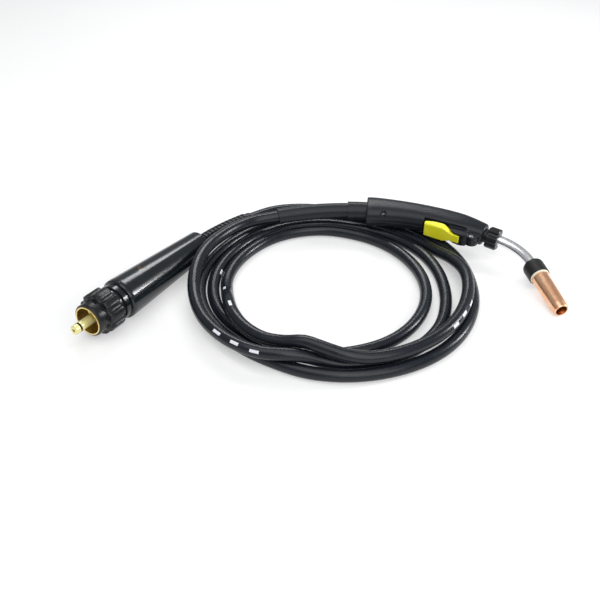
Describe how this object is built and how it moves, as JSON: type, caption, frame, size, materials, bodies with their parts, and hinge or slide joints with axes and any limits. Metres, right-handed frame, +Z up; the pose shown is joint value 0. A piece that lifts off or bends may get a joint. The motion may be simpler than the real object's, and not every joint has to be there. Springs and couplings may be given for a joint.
{
  "type": "mig welding torch",
  "caption": "Swan-neck welding torch with a trigger handle, bent metal neck and copper nozzle, and a long cable wound in loops that ends in a round machine plug.",
  "frame": {"origin": "on the floor under the centre of the torch itself, measured without its cable and plug", "axes": "+Z up; +X along the torch from its boot towards its neck; -Y towards the nozzle and the plug"},
  "size_m": [0.609, 0.3831, 0.0558],
  "materials": {
    "handle_plastic": "satin black moulded plastic with a fine texture",
    "boot_rubber": "semi-gloss black rubber",
    "cable_sheath": "semi-gloss blue-black cable sheath",
    "trigger_yellow": "glossy lemon yellow plastic",
    "screw_steel": "zinc-plated steel",
    "neck_metal": "bright plated tube",
    "insulator_black": "black heat-resistant moulding",
    "ring_cream": "pale heat-resistant fibre ring",
    "insulation_pale": "pale insulating sleeve",
    "copper": "satin copper",
    "brass": "machined brass",
    "pin_brass": "pale polished brass",
    "gloss_black": "glossy black moulded plastic",
    "face_brown": "brown insulating plate",
    "liner_steel": "steel wire liner",
    "switch_white": "ivory plastic",
    "lead_red": "red wire insulation",
    "seal_rubber": "black rubber O-ring"
  },
  "bodies": {
    "torch": {"handle_left": "handle_plastic", "handle_right": "handle_plastic", "handle_screws": "screw_steel", "handle_boot": "boot_rubber", "cable_inlet": "cable_sheath", "cable_conductor": "copper", "cable_block": "brass", "switch_body": "face_brown", "switch_leads": "lead_red", "trigger_pin": "screw_steel", "neck_collet": "insulator_black", "cable_coil": "cable_sheath", "cable_guard": "boot_rubber", "cable_outlet": "cable_sheath", "plug_housing": "gloss_black", "housing_screw": "screw_steel", "plug_ring": "gloss_black", "plug_core": "brass", "plug_face": "face_brown", "centre_pin": "pin_brass", "pin_seal": "seal_rubber"},
    "trigger": {"trigger": "trigger_yellow"},
    "plunger": {"switch_plunger": "switch_white"},
    "neck": {"neck_jacket": "neck_metal", "neck_insulation": "insulation_pale", "neck_tube": "copper", "neck_liner": "liner_steel", "nozzle_insulator": "insulator_black", "insulator_ring": "ring_cream", "gas_diffuser": "brass", "contact_tip": "copper"},
    "lock_nut": {"lock_nut": "handle_plastic"},
    "nozzle": {"nozzle": "copper"},
    "hand_nut": {"hand_nut": "gloss_black", "nut_insert": "brass"},
    "pin_left": {"control_pin_left": "pin_brass"},
    "pin_right": {"control_pin_right": "pin_brass"}
  },
  "joints": [
    {"name": "trigger_squeeze", "type": "hinge", "parent": "torch", "child": "trigger", "pos_m": [0.06803, 0.04335, 0.0313], "axis": [0.0164, 0.1556, -0.9877], "range_deg": [0, 3.5], "stiffness_Nm_per_rad": 1.2, "springref_deg": -2.86},
    {"name": "plunger_travel", "type": "slide", "parent": "torch", "child": "plunger", "axis": [0.3953, 0.9064, 0.1493], "range_m": [0, 0.00175]},
    {"name": "neck_swivel", "type": "hinge", "parent": "torch", "child": "neck", "pos_m": [0.10251, 0.03424, 0.03044], "axis": [-0.8486, 0.5246, 0.0686], "range_deg": [0, 60]},
    {"name": "lock_nut_turn", "type": "hinge", "parent": "torch", "child": "lock_nut", "pos_m": [0.11312, 0.02768, 0.02959], "axis": [0.8486, -0.5246, -0.0686], "range_deg": [0, 180]},
    {"name": "nozzle_pull", "type": "slide", "parent": "neck", "child": "nozzle", "axis": [0.2431, -0.9588, -0.147], "range_m": [0, 0.062]},
    {"name": "hand_nut_spin", "type": "hinge", "parent": "torch", "child": "hand_nut", "pos_m": [-0.3782, -0.11015, 0.02697], "axis": [-0.5293, -0.8471, 0.0484], "continuous": true},
    {"name": "control_pin_left_press", "type": "slide", "parent": "torch", "child": "pin_left", "axis": [0.5293, 0.8471, -0.0484], "range_m": [0, 0.003], "stiffness_N_per_m": 600, "springref_m": -0.003},
    {"name": "control_pin_right_press", "type": "slide", "parent": "torch", "child": "pin_right", "axis": [0.5293, 0.8471, -0.0484], "range_m": [0, 0.003], "stiffness_N_per_m": 600, "springref_m": -0.003}
  ],
  "couplings": [
    {"joint": "plunger_travel", "follows": "trigger_squeeze", "m_per_rad": 0.028}
  ]
}
